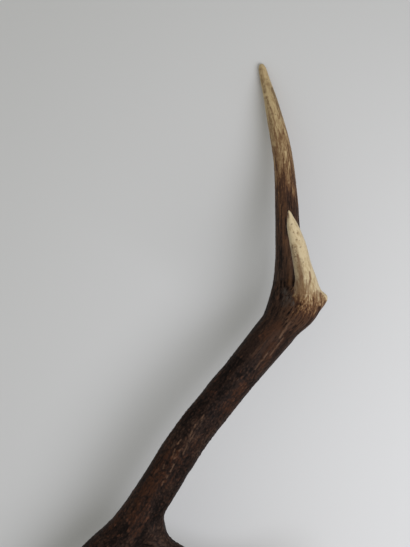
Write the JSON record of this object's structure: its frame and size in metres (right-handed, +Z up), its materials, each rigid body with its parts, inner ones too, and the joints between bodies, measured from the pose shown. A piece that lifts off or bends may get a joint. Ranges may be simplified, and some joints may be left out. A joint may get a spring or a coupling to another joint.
{
  "type": "deer antler",
  "caption": "Single red deer antler lying on its inner side: a grooved dark beam with a burr, a brow tine, a trez tine and a forked crown with pale points.",
  "frame": {"origin": "the middle of the antler's footprint, on the surface it lies on", "axes": "+Y runs up the antler from its burr to its crown, +X is the side the lower tines leave on, +Z points up, away from the surface it lies on"},
  "size_m": [0.3541, 0.6799, 0.1394],
  "materials": {
    "grooved_antler": "dark brown grooved antler with small pearls, worn lighter on the ridges, satin",
    "polished_point": "bare cream antler bone rubbed smooth at the point, streaked brown towards its root"
  },
  "bodies": {
    "root": {"lower_beam": "grooved_antler", "brow_tine": "grooved_antler", "trez_tine": "grooved_antler", "upper_beam": "grooved_antler", "crown_long_tine": "grooved_antler", "crown_short_tine": "polished_point"}
  },
  "joints": []
}
